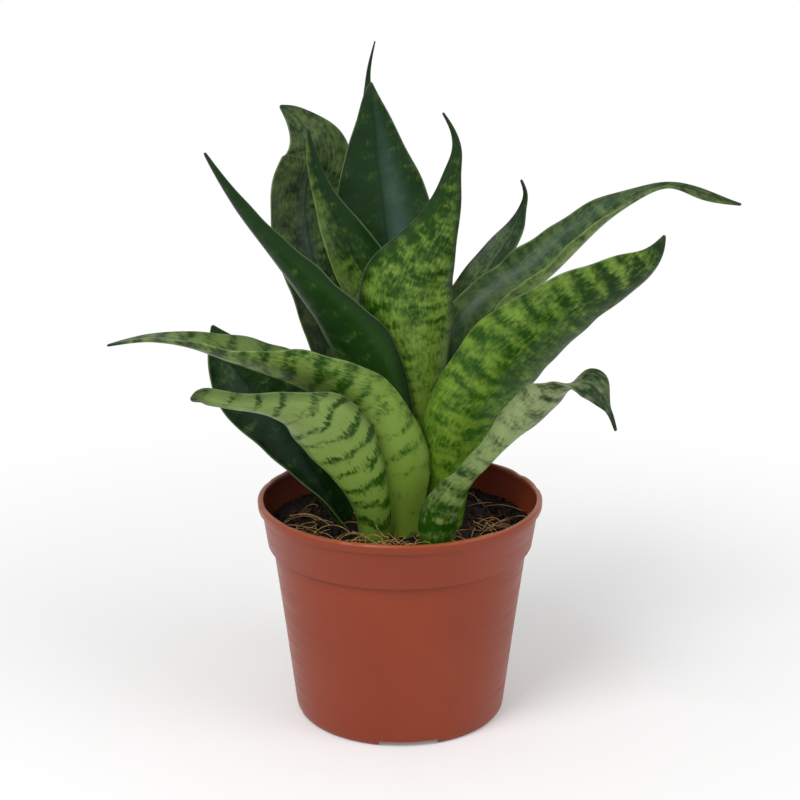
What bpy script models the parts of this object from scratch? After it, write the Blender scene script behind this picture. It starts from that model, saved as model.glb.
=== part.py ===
"""Potted bird's-nest snake plant in a 12 cm nursery pot.

The origin is the centre of the pot's foot, +Z is up and -Y is the plant's front.
Lengths below are millimetres unless they say otherwise; MM turns them into metres.
"""

import math

import bmesh
import bpy
import numpy as np

MM = 0.001
GAP = 0.3

# The pot, as radii and heights.
POT_HEIGHT = 95.0
RIM_RADIUS = 60.0
RIM_DEPTH = 4.0
RIM_WIDTH = 2.6
BAND_RADIUS_TOP = 58.3
BAND_RADIUS_BOTTOM = 55.9
SHOULDER_HEIGHT = 75.0
BODY_RADIUS_TOP = 53.8
BODY_RADIUS_BOTTOM = 44.6
WALL = 1.2
FLOOR_BOTTOM = 2.6
FLOOR_TOP = 4.0
FOOT_RADIUS = 44.0
FOOT_WIDTH = 3.0
FOOT_TURN = 5.0
PAD_RADIUS = 8.0
NOTCH_WIDTH = 25.0
NOTCH_COUNT = 4
HOLE_RADIUS = 4.0
HOLE_COUNT = 6
HOLE_CIRCLE = 27.0
POT_STEPS = 56

# The soil, whose top is lowest at the wall and a little higher round the plant.
SOIL_EDGE = 82.0
SOIL_RISE = 1.5
SOIL_STEPS = 40

# The leaves.
LEAF_THICKNESS = 2.0
LEAF_ACROSS = 4
LEAF_ALONG = 22

# Each leaf: the compass heading of its outer side in degrees, counter-clockwise from +X,
# then its stations from base to tip. A station is x, y and z of the midrib, half the
# leaf's flat width, its roll about the midrib and the angle of its channel, in degrees.
LEAVES = {
    "leaf_front_arching_left": (205, [
        (1, -18, 76, 9, 65, 150), (1.6, -22, 98.5, 11.5, 65, 140), (1, -26, 115, 14.5, 65, 130),
        (-4.5, -30, 129, 15, 60, 125), (-13, -34, 139.5, 17, 48, 125),
        (-24.5, -37, 147.5, 21.5, 28, 130), (-39.5, -39, 155.5, 22.5, 12, 135),
        (-54, -40, 161.5, 18.5, 0, 140), (-69.5, -41, 167.5, 12.5, -8, 120),
        (-85.5, -43, 173.5, 7, -8, 90), (-99, -43, 174.5, 3.5, 0, 60),
        (-114, -43, 172, 0.4, 0, 20),
    ]),
    "leaf_low_front_left": (222, [
        (-9.5, -24, 76, 7.5, 60, 140), (-10.5, -31, 99.5, 9.5, 60, 130),
        (-15.5, -38, 116.5, 13, 58, 115), (-22.5, -46, 130.5, 16, 54, 100),
        (-31, -54, 142.5, 16, 48, 90), (-41, -59, 149, 11.5, 42, 85),
        (-52.5, -65, 153.5, 8, 36, 75), (-63.5, -69, 156.5, 5.5, 42, 65),
        (-71.5, -71, 159, 4.5, 55, 60), (-75, -71, 159.5, 4, 62, 50), (-77, -71, 159, 2.8, 66, 40),
        (-79, -71, 158.5, 0.5, 70, 20),
    ]),
    "leaf_low_left": (172, [
        (-20, -4, 75, 8, 0, 130), (-32, 0, 97, 14, -20, 100), (-45.5, 5, 118, 18, -40, 80),
        (-60.5, 8, 136, 18.5, -50, 70), (-71.5, 9, 152, 11.5, -60, 60),
        (-78, 8, 167, 0.5, -60, 20),
    ]),
    "leaf_upper_left": (190, [
        (-3, -11, 76, 8, 60, 150), (-5, -14, 106, 11, 60, 140), (-8.5, -17, 138, 14.5, 60, 110),
        (-18.5, -20, 163, 17, 50, 100), (-35, -22, 185, 14, 35, 110), (-52, -23, 207, 9, 25, 130),
        (-64, -23, 224, 4.5, 30, 100), (-76, -22, 244, 0.4, 40, 20),
    ]),
    "leaf_front_centre": (270, [
        (6, -5, 75, 6, 0, 140), (8, -9, 114, 10, 0, 130), (7, -13, 145, 14, 0, 110),
        (2.5, -20, 174, 21.5, 0, 90), (3.5, -23, 190, 20, 0, 80), (8, -25, 201, 16, 0, 80),
        (14, -26, 214, 10, 0, 80), (18.5, -26, 227, 6, 0, 80), (20.5, -25, 237, 3.5, 0, 70),
        (22, -24, 245, 2, 0, 60), (20.5, -23, 252.5, 1, 0, 40), (16.5, -22, 259.5, 0.4, 0, 20),
    ]),
    "leaf_back_centre": (90, [
        (-3, 8, 76, 7, 0, 140), (-3, 13, 125, 12, 0, 110), (-4, 19, 171, 19, 0, 80),
        (-6, 25, 204, 21.5, 0, 60), (-8, 28, 220, 19, 0, 50), (-10, 31, 236, 13, 0, 50),
        (-11, 33, 249, 7.5, 0, 50), (-12, 34, 258, 3.5, 0, 45), (-12, 35, 264, 0.4, 0, 20),
    ]),
    "leaf_back_tall": (95, [
        (-4, 19, 76, 7.5, 0, 140), (-6, 36, 118, 13.5, 0, 110), (-10.5, 54, 166, 18, 0, 80),
        (-12, 70, 208, 12, 0, 60), (-14, 79, 233, 6, 0, 50), (-14, 84, 248, 2.8, 0, 50),
        (-14, 87, 260, 1, 0, 40), (-11, 90, 275, 0.3, 0, 20),
    ]),
    "leaf_back_left": (125, [
        (-11, 11, 76, 7, 0, 140), (-20.5, 25, 122, 13.5, 0, 110), (-31, 33, 163, 18, 0, 80),
        (-40, 43, 200, 21, 0, 60), (-40, 47, 219, 20.5, 0, 50), (-37, 49, 232.5, 17, 0, 45),
        (-41.5, 50, 243, 9.5, 0, 45), (-47, 51, 249, 4.5, 0, 45), (-51, 51, 252, 0.4, 0, 20),
    ]),
    "leaf_heart": (100, [
        (0, 1, 76, 4, 0, 140), (1, 2, 128, 8, 0, 120), (-4, 3, 164, 12, 0, 100),
        (-15, 5, 190, 12.5, 0, 85), (-24, 6, 207, 9.5, 0, 80), (-31, 7, 222, 5, 0, 80),
        (-35, 7, 235, 2.8, 0, 70), (-37, 7, 249, 0.4, 0, 20),
    ]),
    "leaf_back_right": (50, [
        (11, 17, 76, 7, 0, 140), (19, 26, 121, 12, 0, 110), (28, 35, 160, 13.5, 0, 90),
        (41, 43, 186, 9.5, 0, 80), (50, 48, 200, 5, 0, 60), (53, 51, 208, 2, 0, 60),
        (54, 52, 214, 1, 0, 40), (52, 53, 220, 0.4, 0, 20),
    ]),
    "leaf_long_right": (10, [
        (16, 4, 76, 7, 0, 140), (20, 6, 110, 11, 10, 130), (24, 8, 142, 15, 20, 120),
        (33, 11, 166, 17, 18, 125), (51, 12.5, 180.5, 18.5, 9, 145),
        (68, 13.5, 195.5, 16, 9, 145), (84.5, 13, 212, 9.5, 12, 125), (98, 10, 221.5, 4, 15, 90),
        (109, 6, 226, 1.8, 30, 60), (121, 1, 223.5, 2.6, 50, 50), (137, -4, 220, 0.4, 50, 20),
    ]),
    "leaf_broad_right": (332, [
        (20, -9, 76, 8, -50, 140), (21, -16, 107, 13, -50, 130), (26, -24, 131, 18.5, -50, 110),
        (35, -31, 149, 20.5, -50, 90), (44, -36, 165, 20, -50, 80), (56, -39, 177, 18, -50, 70),
        (67, -41, 187, 15.5, -50, 60), (78, -43, 194, 12.5, -50, 60),
        (89, -44, 201, 9.5, -50, 60), (97, -44, 208, 4.5, -50, 60), (101, -44, 216, 0.4, -50, 20),
    ]),
    "leaf_low_right": (320, [
        (17, -38, 76, 9, -35, 130), (18.5, -39, 102, 10, -35, 130), (23, -41, 110, 9.5, -22, 140),
        (28.5, -45, 118.5, 9, -3, 150), (35.5, -49, 127.5, 8.5, 0, 145),
        (41.5, -53, 136.5, 8.5, -20, 130), (47.5, -57, 145.5, 10, -38, 115),
        (54.5, -61, 154, 9.5, -38, 110), (60.5, -66, 160.5, 7, -20, 90),
        (66.5, -71, 164.5, 8.5, 5, 60), (71.5, -74, 164.5, 8, 20, 60),
        (75, -76, 160.5, 4.5, 20, 60), (78, -77, 156, 1.3, 20, 40), (81, -77, 148, 0.4, 20, 20),
    ]),
    "leaf_low_back_left": (130, [
        (-23, 18, 76, 6, 0, 140), (-35, 34, 100, 12, 0, 110), (-50, 55, 117, 15, 0, 90),
        (-64, 76, 127, 11, 0, 70), (-75, 92, 130, 5, 0, 60), (-83, 104, 129, 0.5, 0, 20),
    ]),
    "leaf_low_back": (92, [
        (4, 29, 76, 7, 0, 140), (2, 47, 112, 13, 0, 110), (1, 70, 142, 17, 0, 90),
        (1, 95, 162, 14, 0, 70), (2, 114, 170, 7, 0, 60), (2, 130, 170, 0.5, 0, 20),
    ]),
    "leaf_low_back_right": (48, [
        (23, 22, 76, 6, 0, 140), (32, 35, 112, 12, 0, 110), (40, 53, 138, 14, 0, 90),
        (46, 70, 152, 10, 0, 70), (52, 83, 158, 4, 0, 60), (58, 94, 160, 0.5, 0, 20),
    ]),
}

# Each bark chip: x and y of its middle, its length, width and thickness, its turn in degrees.
BARK_CHIPS = [
    (36, -27, 11, 6, 3.0, 20),
    (28, -40, 8, 5, 2.4, 115),
    (43, -10, 9, 5, 2.6, 75),
    (-36, -22, 8, 5, 2.4, 150),
    (-40, 8, 7, 4, 2.2, 60),
    (-8, -43, 7, 4, 2.0, 10),
]


def clear_scene():
    """Remove every object that the file opened with."""
    for thing in list(bpy.data.objects):
        bpy.data.objects.remove(thing, do_unlink=True)


def new_collection(name):
    """Make a collection under the scene's own."""
    collection = bpy.data.collections.new(name)
    bpy.context.scene.collection.children.link(collection)
    return collection


def new_material(name, colour, roughness):
    """Make a plain Principled material with a linear colour."""
    material = bpy.data.materials.new(name)
    material.use_nodes = True
    shader = material.node_tree.nodes["Principled BSDF"]
    shader.inputs["Base Color"].default_value = (*colour, 1.0)
    shader.inputs["Roughness"].default_value = roughness
    shader.inputs["Metallic"].default_value = 0.0
    return material


def new_object(name, mesh, collection, material=None):
    """Link an object that holds the mesh and wears the material."""
    thing = bpy.data.objects.new(name, mesh)
    collection.objects.link(thing)
    if material:
        mesh.materials.append(material)
    return thing


def make_cutter(thing):
    """Keep a cutting shape out of renders and show it as wires."""
    thing.hide_render = True
    thing.display_type = "WIRE"
    return thing


def cut(thing, cutter):
    """Take the cutter's volume out of the object."""
    modifier = thing.modifiers.new("cut_" + cutter.name, "BOOLEAN")
    modifier.operation = "DIFFERENCE"
    modifier.solver = "EXACT"
    modifier.object = cutter


def turned(name, profile, steps, collection, material=None):
    """Turn a profile of (radius, height) points in millimetres about Z with a Screw modifier."""
    mesh = bpy.data.meshes.new(name)
    points = [(radius * MM, 0.0, height * MM) for radius, height in profile]
    edges = [(i, i + 1) for i in range(len(points) - 1)]
    mesh.from_pydata(points, edges, [])
    thing = new_object(name, mesh, collection, material)
    screw = thing.modifiers.new("turn", "SCREW")
    screw.axis = "Z"
    screw.steps = steps
    screw.render_steps = steps
    screw.use_merge_vertices = True
    screw.merge_threshold = 0.00005
    return thing


def inner_radius(height):
    """Radius of the pot's inside at a height between its shoulder and its rim."""
    rise = (height - SHOULDER_HEIGHT) / (POT_HEIGHT - RIM_DEPTH - SHOULDER_HEIGHT)
    return BAND_RADIUS_BOTTOM + (BAND_RADIUS_TOP - BAND_RADIUS_BOTTOM) * rise - WALL


def pot_profile():
    """From the floor's middle up the inside, over the rim and down the outside to the foot."""
    rim_inside = RIM_RADIUS - RIM_WIDTH
    shoulder_inside = SHOULDER_HEIGHT + WALL
    return [
        (0, FLOOR_TOP),
        (BODY_RADIUS_BOTTOM - WALL - 1.5, FLOOR_TOP),
        (BODY_RADIUS_BOTTOM - WALL, FLOOR_TOP + 1.5),
        (BODY_RADIUS_TOP - WALL, shoulder_inside),
        (inner_radius(shoulder_inside), shoulder_inside),
        (inner_radius(POT_HEIGHT - RIM_DEPTH), POT_HEIGHT - RIM_DEPTH),
        (rim_inside, POT_HEIGHT - 0.5),
        (rim_inside + 0.5, POT_HEIGHT),
        (RIM_RADIUS - 0.6, POT_HEIGHT),
        (RIM_RADIUS, POT_HEIGHT - 0.6),
        (RIM_RADIUS - 0.2, POT_HEIGHT - RIM_DEPTH + 0.4),
        (RIM_RADIUS - 0.6, POT_HEIGHT - RIM_DEPTH),
        (BAND_RADIUS_TOP, POT_HEIGHT - RIM_DEPTH),
        (BAND_RADIUS_BOTTOM, SHOULDER_HEIGHT + 0.4),
        (BAND_RADIUS_BOTTOM - 0.4, SHOULDER_HEIGHT),
        (BODY_RADIUS_TOP, SHOULDER_HEIGHT),
        (BODY_RADIUS_BOTTOM, 3.0),
        (FOOT_RADIUS - 0.2, 0.8),
        (FOOT_RADIUS - 0.8, 0),
        (FOOT_RADIUS - FOOT_WIDTH, 0),
        (FOOT_RADIUS - FOOT_WIDTH, FLOOR_BOTTOM),
        (PAD_RADIUS, FLOOR_BOTTOM),
        (PAD_RADIUS - 0.5, 0),
        (0, 0),
    ]


def add_cylinder_cutter(name, x, y, radius, collection):
    """A round cutter that goes right through the pot's floor."""
    bpy.ops.mesh.primitive_cylinder_add(
        vertices=24, radius=radius * MM, depth=20 * MM, location=(x * MM, y * MM, 0)
    )
    return adopt(bpy.context.object, name, collection)


def add_box_cutter(name, size, location, turn, collection):
    """A box cutter of the given size, turned about Z by an angle in radians."""
    bpy.ops.mesh.primitive_cube_add(size=1, location=[value * MM for value in location])
    box = bpy.context.object
    box.scale = [value * MM for value in size]
    box.rotation_euler = (0, 0, turn)
    return adopt(box, name, collection)


def adopt(thing, name, collection):
    """Name a fresh primitive and move it from the scene's collection to another."""
    thing.name = name
    thing.data.name = name
    for holder in list(thing.users_collection):
        holder.objects.unlink(thing)
    collection.objects.link(thing)
    return thing


def build_pot(parts, cutters, material):
    """The nursery pot: a turned shell with a notched foot ring, a middle pad and drain holes."""
    pot = turned("nursery_pot", pot_profile(), POT_STEPS, parts, material)
    for index in range(NOTCH_COUNT):
        angle = math.radians(FOOT_TURN - 90 + index * 360 / NOTCH_COUNT)
        middle = FOOT_RADIUS - 1.0
        place = (middle * math.cos(angle), middle * math.sin(angle), 0)
        size = (12, NOTCH_WIDTH, 2 * FLOOR_BOTTOM - 0.4)
        notch = add_box_cutter(f"foot_notch_{index + 1}", size, place, angle, cutters)
        cut(pot, make_cutter(notch))
    for index in range(HOLE_COUNT):
        angle = math.radians(45 + index * 360 / HOLE_COUNT)
        x = HOLE_CIRCLE * math.cos(angle)
        y = HOLE_CIRCLE * math.sin(angle)
        hole = add_cylinder_cutter(f"drain_hole_{index + 1}", x, y, HOLE_RADIUS, cutters)
        cut(pot, make_cutter(hole))
    return pot


def soil_top(radius):
    """Height of the soil's top at a distance from the pot's axis."""
    edge = inner_radius(SOIL_EDGE)
    return SOIL_EDGE + SOIL_RISE * (1 - min(radius / edge, 1.0) ** 2)


def top_profile(outer, lift):
    """The soil's top line from the axis outwards, raised by lift."""
    radii = [0, outer * 0.35, outer * 0.7, outer]
    return [(radius, soil_top(radius) + lift) for radius in radii]


def build_soil(parts, cutters, material):
    """The soil that fills the pot, and the slightly raised copy that trims the leaves above it."""
    edge = inner_radius(SOIL_EDGE) - GAP
    lower_edge = BODY_RADIUS_TOP - WALL - GAP
    shoulder = SHOULDER_HEIGHT + WALL + GAP
    profile = top_profile(edge, 0)
    profile += [
        (inner_radius(shoulder) - GAP, shoulder),
        (lower_edge, shoulder),
        (BODY_RADIUS_BOTTOM - WALL - GAP, FLOOR_TOP + 1.5 + GAP),
        (BODY_RADIUS_BOTTOM - WALL - 1.5 - GAP, FLOOR_TOP + GAP),
        (0, FLOOR_TOP + GAP),
    ]
    turned("potting_soil", profile, SOIL_STEPS, parts, material)
    clearance = top_profile(edge, GAP) + [(edge, 60), (0, 60)]
    return make_cutter(turned("leaf_clearance", clearance, SOIL_STEPS, cutters))


def smooth_points(knots, values, at):
    """Natural cubic spline through rows of values at the knots, read at other parameters."""
    count = len(knots)
    step = np.diff(knots)
    slope = np.diff(values, axis=0) / step[:, None]
    system = np.eye(count)
    right = np.zeros_like(values)
    for i in range(1, count - 1):
        system[i, i - 1 : i + 2] = (step[i - 1], 2 * (step[i - 1] + step[i]), step[i])
        right[i] = 6 * (slope[i] - slope[i - 1])
    bend = np.linalg.solve(system, right)
    span = np.clip(np.searchsorted(knots, at, side="right") - 1, 0, count - 2)
    width = step[span][:, None]
    ahead = (knots[span + 1][:, None] - at[:, None]) / width
    behind = 1 - ahead
    straight = ahead * values[span] + behind * values[span + 1]
    curve = (ahead**3 - ahead) * bend[span] + (behind**3 - behind) * bend[span + 1]
    return straight + curve * width**2 / 6


def smooth_values(knots, values, at):
    """Cubic curve through single values that never overshoots them."""
    step = np.diff(knots)
    slope = np.diff(values) / step
    tangent = np.zeros(len(knots))
    tangent[0] = slope[0]
    tangent[-1] = slope[-1]
    for i in range(1, len(knots) - 1):
        if slope[i - 1] * slope[i] > 0:
            tangent[i] = 2 * slope[i - 1] * slope[i] / (slope[i - 1] + slope[i])
    span = np.clip(np.searchsorted(knots, at, side="right") - 1, 0, len(knots) - 2)
    t = (at - knots[span]) / step[span]
    ease = t * t * (3 - 2 * t)
    leave = t * (1 - t) ** 2 * step[span]
    arrive = t * t * (t - 1) * step[span]
    between = values[span] + (values[span + 1] - values[span]) * ease
    return between + tangent[span] * leave + tangent[span + 1] * arrive


def leaf_frames(heading, stations, count):
    """Midrib points of a leaf with, at each, its crosswise and upper directions and its section."""
    table = np.array(stations, dtype=float)
    points = table[:, :3]
    lengths = np.linalg.norm(np.diff(points, axis=0), axis=1)
    knots = np.concatenate([[0.0], np.cumsum(lengths)])
    at = np.linspace(0, knots[-1], count)
    spine = smooth_points(knots, points, at)
    tangent = np.gradient(spine, axis=0)
    tangent /= np.linalg.norm(tangent, axis=1)[:, None]
    width = smooth_values(knots, table[:, 3], at)
    roll = np.radians(smooth_values(knots, table[:, 4], at))[:, None]
    channel = np.radians(smooth_values(knots, table[:, 5], at))
    turn = math.radians(heading)
    side = np.array([-math.sin(turn), math.cos(turn), 0.0])
    across = side - tangent * (tangent @ side)[:, None]
    across /= np.linalg.norm(across, axis=1)[:, None]
    upper = np.cross(tangent, across)
    crosswise = across * np.cos(roll) + upper * np.sin(roll)
    inward = upper * np.cos(roll) - across * np.sin(roll)
    return spine, crosswise, inward, width, channel


def build_leaf(name, heading, stations, parts, clearance, material):
    """One leaf: a grid bent to its midrib and channel, thickened and trimmed at the soil."""
    grid = bmesh.new()
    bmesh.ops.create_grid(grid, x_segments=LEAF_ACROSS, y_segments=LEAF_ALONG, size=1)
    frames = leaf_frames(heading, stations, LEAF_ALONG + 1)
    for vertex in grid.verts:
        row = round((vertex.co.y + 1) / 2 * LEAF_ALONG)
        spine, crosswise, inward, width, channel = (values[row] for values in frames)
        angle = vertex.co.x * channel / 2
        radius = 2 * width / channel
        offset = crosswise * math.sin(angle) + inward * (1 - math.cos(angle))
        vertex.co = (spine + offset * radius) * MM
    mesh = bpy.data.meshes.new(name)
    grid.to_mesh(mesh)
    grid.free()
    mesh.shade_smooth()
    leaf = new_object(name, mesh, parts, material)
    solidify = leaf.modifiers.new("thickness", "SOLIDIFY")
    solidify.thickness = LEAF_THICKNESS * MM
    solidify.offset = 0
    cut(leaf, clearance)
    return leaf


def build_chip(index, chip, parts, material):
    """One bark chip: a rounded, slightly wedge-shaped block lying on the soil."""
    x, y, length, width, thickness, turn = chip
    block = bmesh.new()
    bmesh.ops.create_cube(block, size=1)
    for vertex in block.verts:
        taper = 0.8 if vertex.co.x > 0 else 1.0
        vertex.co.x *= length * MM
        vertex.co.y *= width * taper * MM
        vertex.co.z *= thickness * taper * MM
    mesh = bpy.data.meshes.new(f"bark_chip_{index}")
    block.to_mesh(mesh)
    block.free()
    thing = new_object(f"bark_chip_{index}", mesh, parts, material)
    lean = math.radians(-2)
    height = soil_top(math.hypot(x, y)) + thickness / 2 + GAP + 0.25
    thing.location = (x * MM, y * MM, height * MM)
    thing.rotation_euler = (0, lean, math.radians(turn))
    bevel = thing.modifiers.new("worn_edges", "BEVEL")
    bevel.width = 0.6 * MM
    bevel.segments = 1
    return thing


def main():
    clear_scene()
    parts = new_collection("potted_snake_plant")
    cutters = new_collection("cutters")
    plastic = new_material("terracotta_plastic", (0.29, 0.075, 0.035), 0.45)
    soil = new_material("potting_soil", (0.030, 0.018, 0.012), 0.95)
    leaf = new_material("snake_plant_leaf", (0.028, 0.085, 0.020), 0.38)
    bark = new_material("pine_bark", (0.110, 0.042, 0.020), 0.85)
    build_pot(parts, cutters, plastic)
    clearance = build_soil(parts, cutters, soil)
    for name, (heading, stations) in LEAVES.items():
        build_leaf(name, heading, stations, parts, clearance, leaf)
    for index, chip in enumerate(BARK_CHIPS, start=1):
        build_chip(index, chip, parts, bark)


main()
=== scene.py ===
# %% [markdown]
# # A potted snake plant
# This lesson dresses a measured model of a dwarf snake plant in its nursery pot. The measured
# model is loaded first and stays as it is. Every piece below is built in the same place and
# at the same size as the part of the model that it stands for.

# %% Load the measured model
import math
import random

import bpy
import numpy as np
from mathutils import Euler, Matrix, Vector, noise


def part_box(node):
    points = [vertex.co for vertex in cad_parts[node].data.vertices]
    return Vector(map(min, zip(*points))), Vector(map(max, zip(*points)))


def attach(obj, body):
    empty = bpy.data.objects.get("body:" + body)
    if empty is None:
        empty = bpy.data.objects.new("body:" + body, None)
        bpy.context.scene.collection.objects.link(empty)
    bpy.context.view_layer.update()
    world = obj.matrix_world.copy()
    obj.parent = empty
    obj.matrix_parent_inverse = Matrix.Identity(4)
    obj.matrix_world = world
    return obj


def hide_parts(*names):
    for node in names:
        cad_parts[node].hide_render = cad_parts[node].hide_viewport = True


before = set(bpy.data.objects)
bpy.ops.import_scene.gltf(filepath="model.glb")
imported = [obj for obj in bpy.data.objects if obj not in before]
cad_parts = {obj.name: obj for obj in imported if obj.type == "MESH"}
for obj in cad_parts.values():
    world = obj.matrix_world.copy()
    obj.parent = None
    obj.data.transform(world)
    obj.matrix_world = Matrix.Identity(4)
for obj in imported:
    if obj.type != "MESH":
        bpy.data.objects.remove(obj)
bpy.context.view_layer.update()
scene = bpy.context.scene
MM = 0.001
print("nodes:", len(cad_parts))

# %% [markdown]
# ## Small helpers
# An operator works on whatever is selected, so each piece starts from an empty selection.
# Colours are written as web hex values. Blender mixes light in linear values, so one function
# turns the hex value into those.

# %% Selection, colour and node helpers
def select_only(thing):
    bpy.ops.object.select_all(action="DESELECT")
    thing.select_set(True)
    bpy.context.view_layer.objects.active = thing


def name_piece(thing, name):
    thing.name = name
    thing.data.name = name
    return thing


def linear(hex_colour):
    channels = [int(hex_colour[i:i + 2], 16) / 255 for i in (1, 3, 5)]
    return [c / 12.92 if c <= 0.04045 else ((c + 0.055) / 1.055) ** 2.4 for c in channels] + [1.0]


def add_node(tree, kind, sockets=None, **settings):
    made = tree.nodes.new("ShaderNode" + kind)
    for key, value in settings.items():
        setattr(made, key, value)
    for key, value in (sockets or {}).items():
        if isinstance(value, bpy.types.NodeSocket):
            tree.links.new(value, made.inputs[key])
        else:
            made.inputs[key].default_value = value
    return made


def new_material(name):
    material = bpy.data.materials.new(name)
    material.use_nodes = True
    tree = material.node_tree
    return material, tree, tree.nodes["Principled BSDF"]


# %% [markdown]
# ## Polypropylene for the pot
# The pot is injection-moulded polypropylene in a terracotta colour. The mould leaves a satin
# skin with very fine orange peel and a little dust. The top of the rim is painted a paler
# orange: a painted highlight where the lip catches the light.
# Patterns read Object coordinates in metres, so a scale of 1000 gives features of one
# millimetre.

# %% Make the pot's plastic
LIP_HIGHLIGHT_FROM = 0.0942
LIP_HIGHLIGHT_FULLY = 0.0950


def make_pot_plastic():
    material, tree, shader = new_material("terracotta_polypropylene")
    place = add_node(tree, "TexCoord").outputs["Object"]
    height = add_node(tree, "SeparateXYZ", {0: place}).outputs["Z"]
    clouds = add_node(tree, "TexNoise", {"Vector": place, "Scale": 28.0, "Detail": 4.0}).outputs["Fac"]
    specks = add_node(tree, "TexNoise", {"Vector": place, "Scale": 650.0, "Detail": 2.0}).outputs["Fac"]
    peel = add_node(tree, "TexNoise", {"Vector": place, "Scale": 900.0, "Detail": 1.0}).outputs["Fac"]
    stretched = add_node(tree, "Mapping", {"Vector": place, "Scale": (1.0, 1.0, 14.0)}).outputs[0]
    rings = add_node(tree, "TexNoise", {"Vector": stretched, "Scale": 30.0, "Detail": 3.0}).outputs["Fac"]
    body = add_node(
        tree, "Mix", {0: clouds, 6: linear("#7C3019"), 7: linear("#8C3B21")}, data_type="RGBA"
    ).outputs[2]
    dust_mask = add_node(
        tree, "MapRange", {0: specks, 1: 0.70, 2: 0.78, 3: 0.0, 4: 0.3}, clamp=True
    ).outputs[0]
    dusty = add_node(
        tree, "Mix", {0: dust_mask, 6: body, 7: linear("#A56A50")}, data_type="RGBA"
    ).outputs[2]
    # Painted highlight: above 94.2 mm the lip is mixed towards a paler orange.
    lip_highlight = add_node(
        tree, "MapRange", {0: height, 1: LIP_HIGHLIGHT_FROM, 2: LIP_HIGHLIGHT_FULLY, 3: 0.0, 4: 0.7}
    ).outputs[0]
    final = add_node(tree, "Mix", {0: lip_highlight, 6: dusty, 7: linear("#98552F")}, data_type="RGBA").outputs[2]
    tree.links.new(final, shader.inputs["Base Color"])
    dull = add_node(tree, "MapRange", {0: rings, 1: 0.3, 2: 0.7, 3: 0.28, 4: 0.42}).outputs[0]
    tree.links.new(dull, shader.inputs["Roughness"])
    shader.inputs["IOR"].default_value = 1.49
    shader.inputs["Specular IOR Level"].default_value = 0.25
    bump = add_node(tree, "Bump", {"Height": peel, "Strength": 0.25, "Distance": 0.00008})
    tree.links.new(bump.outputs[0], shader.inputs["Normal"])
    return material


pot_plastic = make_pot_plastic()
print("material:", pot_plastic.name)

# %% [markdown]
# ## Peat soil, bark and coir
# Potting soil is moist peat with bark crumbs: nearly black, rough, with warmer brown bits.
# Bark is red-brown with a grain that runs along the chip. Coir fibres are straw-coloured.

# %% Make the soil, bark and fibre materials
def make_earthy(name, dark, light, scale, stretch, roughness, bump_height):
    material, tree, shader = new_material(name)
    place = add_node(tree, "TexCoord").outputs["Object"]
    drawn = add_node(tree, "Mapping", {"Vector": place, "Scale": stretch}).outputs[0]
    grain = add_node(tree, "TexNoise", {"Vector": drawn, "Scale": scale, "Detail": 5.0, "Roughness": 0.65})
    spread = add_node(tree, "MapRange", {0: grain.outputs["Fac"], 1: 0.38, 2: 0.68}).outputs[0]
    colour = add_node(tree, "Mix", {0: spread, 6: linear(dark), 7: linear(light)}, data_type="RGBA")
    tree.links.new(colour.outputs[2], shader.inputs["Base Color"])
    shader.inputs["Roughness"].default_value = roughness
    shader.inputs["Specular IOR Level"].default_value = 0.2
    bump = add_node(
        tree, "Bump", {"Height": grain.outputs["Fac"], "Strength": 0.8, "Distance": bump_height}
    )
    tree.links.new(bump.outputs[0], shader.inputs["Normal"])
    return material


peat_soil = make_earthy("moist_peat_soil", "#080503", "#1C110A", 420.0, (1, 1, 1), 0.92, 0.0008)
pine_bark = make_earthy("pine_bark", "#1C0C06", "#4A2614", 260.0, (0.35, 1, 1.6), 0.8, 0.0004)
coir_fibre = make_earthy("coir_fibre", "#7A5830", "#BE9A62", 300.0, (1, 1, 1), 0.6, 0.00005)
print("materials:", peat_soil.name, pine_bark.name, coir_fibre.name)

# %% [markdown]
# ## The pot
# The pot is turned, so its outline is enough to describe it. A disc is added at the middle of
# the floor and extruded ring by ring: up the inside, over the rim, down the outside and back
# under the floor. Each ring is scaled to its radius. Boxes then cut the notches in the foot
# ring, and cylinders cut the drain holes.

# %% Turn the pot's shell
POT_SIDES = 160
RIM_RADIUS = 60.0
POT_PROFILE = [
    (1, 4.0), (20, 4.0), (41.9, 4.0), (43.0, 4.5), (43.6, 5.8), (52.4, 75.4), (52.9, 76.2),
    (54.4, 76.3), (54.9, 77.0), (57.0, 90.8), (57.4, 92.5), (57.4, 94.3), (57.8, 94.9),
    (58.6, 95.1), (59.4, 94.9), (60.0, 94.2), (59.9, 91.9), (59.6, 91.3), (58.5, 91.0),
    (58.2, 90.5), (56.0, 75.7), (55.7, 75.1), (54.2, 75.0), (53.8, 74.6), (49.3, 40.0),
    (44.9, 3.6), (44.5, 1.6), (43.6, 0.4), (42.9, 0.0), (41.4, 0.0), (41.0, 0.4),
    (40.9, 2.6), (8.0, 2.6), (7.6, 0.0), (1, 0.0),
]


def turn_profile(name, profile, sides):
    bpy.ops.object.select_all(action="DESELECT")
    radius, height = profile[0]
    bpy.ops.mesh.primitive_circle_add(
        vertices=sides, radius=radius * MM, location=(0, 0, height * MM), fill_type="NGON"
    )
    piece = name_piece(bpy.context.object, name)
    bpy.ops.object.transform_apply(location=True, rotation=True, scale=True)
    bpy.ops.object.mode_set(mode="EDIT")
    bpy.ops.mesh.select_all(action="SELECT")
    for next_radius, next_height in profile[1:]:
        rise = (0, 0, (next_height - height) * MM)
        bpy.ops.mesh.extrude_region_move(TRANSFORM_OT_translate={"value": rise})
        growth = next_radius / radius
        bpy.ops.transform.resize(value=(growth, growth, 1), center_override=(0, 0, 0))
        radius, height = next_radius, next_height
    bpy.ops.mesh.select_all(action="SELECT")
    bpy.ops.mesh.normals_make_consistent(inside=False)
    bpy.ops.object.mode_set(mode="OBJECT")
    return piece


pot = turn_profile("pot_shell", POT_PROFILE, POT_SIDES)
print("pot shell:", len(pot.data.vertices), "points")

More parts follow.
